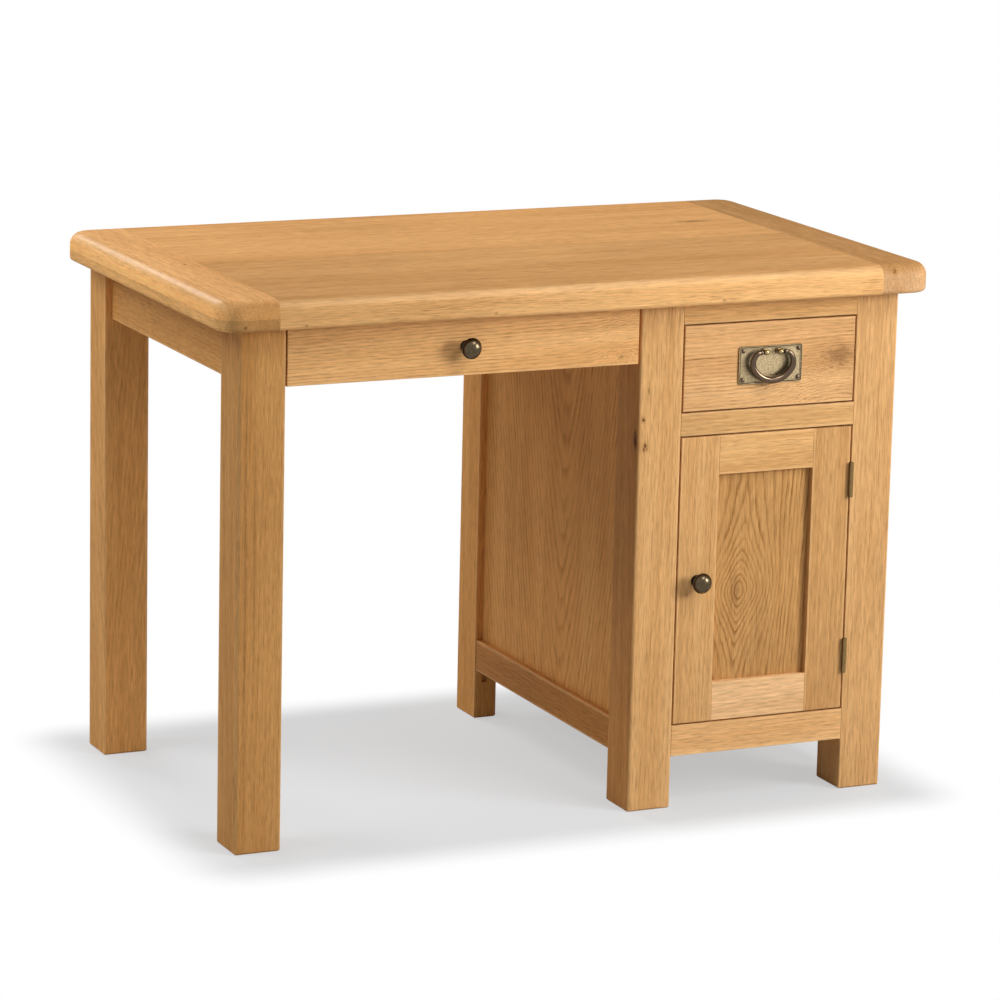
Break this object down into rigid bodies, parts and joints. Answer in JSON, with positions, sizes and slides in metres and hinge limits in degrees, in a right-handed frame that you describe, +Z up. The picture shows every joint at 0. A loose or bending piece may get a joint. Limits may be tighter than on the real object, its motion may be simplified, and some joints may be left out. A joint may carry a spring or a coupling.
{
  "type": "single-pedestal desk",
  "caption": "Oak writing desk on square legs with a thick round-edged top, a knee drawer, and a right-hand pedestal with a drop-handle drawer above a panelled cupboard door.",
  "frame": {"origin": "on the floor under the centre of the top", "axes": "+X to the right along the desk, +Y to the back, +Z up"},
  "size_m": [1.096, 0.648, 0.784],
  "materials": {
    "oak": "satin lacquer over light oak",
    "drawer_lining": "plain planed oak",
    "veneered_board": "oak-veneered board",
    "antique_brass": "antiqued, darkened in the hollows",
    "steel": "zinc plated",
    "catch_case": "matte brown"
  },
  "bodies": {
    "frame": {"apron_back": "oak", "apron_left": "oak", "back_panel": "veneered_board", "back_rail_high": "oak", "back_rail_low": "oak", "catch_body": "catch_case", "cupboard_floor": "veneered_board", "drawer_kickers": "drawer_lining", "drawer_runners": "drawer_lining", "drawer_stops": "drawer_lining", "front_rail_high": "oak", "front_rail_low": "oak", "front_rail_middle": "oak", "hinge_frame_leaves": "antique_brass", "hinge_frame_screws": "antique_brass", "hinge_pins": "antique_brass", "knee_runners": "drawer_lining", "leg_back_left": "oak", "leg_front_left": "oak", "leg_pedestal_back_left": "oak", "leg_pedestal_back_right": "oak", "leg_pedestal_front_left": "oak", "leg_pedestal_front_right": "oak", "side_panel_left": "oak", "side_panel_right": "oak", "side_rail_high_left": "oak", "side_rail_high_right": "oak", "side_rail_low_left": "oak", "side_rail_low_right": "oak", "top_end_left": "oak", "top_end_right": "oak", "top_panel": "oak", "top_screws": "steel"},
    "knee_drawer": {"knee_drawer_back": "drawer_lining", "knee_drawer_bottom": "veneered_board", "knee_drawer_front": "oak", "knee_drawer_knob": "antique_brass", "knee_drawer_knob_screw": "steel", "knee_drawer_side_left": "drawer_lining", "knee_drawer_side_right": "drawer_lining"},
    "small_drawer": {"handle_pins": "antique_brass", "handle_plate": "antique_brass", "handle_posts": "antique_brass", "small_drawer_back": "drawer_lining", "small_drawer_bottom": "veneered_board", "small_drawer_front": "oak", "small_drawer_side_left": "drawer_lining", "small_drawer_side_right": "drawer_lining"},
    "bail": {"handle_bail": "antique_brass"},
    "door": {"catch_strike": "steel", "door_knob": "antique_brass", "door_knob_screw": "steel", "door_panel": "oak", "door_rail_high": "oak", "door_rail_low": "oak", "door_stile_left": "oak", "door_stile_right": "oak", "hinge_door_leaves": "antique_brass", "hinge_door_screws": "antique_brass"}
  },
  "joints": [
    {"name": "knee_drawer_slide", "type": "slide", "parent": "frame", "child": "knee_drawer", "axis": [0, -1, 0], "range_m": [0, 0.33]},
    {"name": "small_drawer_slide", "type": "slide", "parent": "frame", "child": "small_drawer", "axis": [0, -1, 0], "range_m": [0, 0.33]},
    {"name": "door_hinge", "type": "hinge", "parent": "frame", "child": "door", "pos_m": [0.44075, -0.2936, 0.3355], "axis": [0, 0, 1], "range_deg": [0, 170]},
    {"name": "bail_pivot", "type": "hinge", "parent": "small_drawer", "child": "bail", "pos_m": [0.3025, -0.2999, 0.66475], "axis": [-1, 0, 0], "range_deg": [0, 90]}
  ]
}
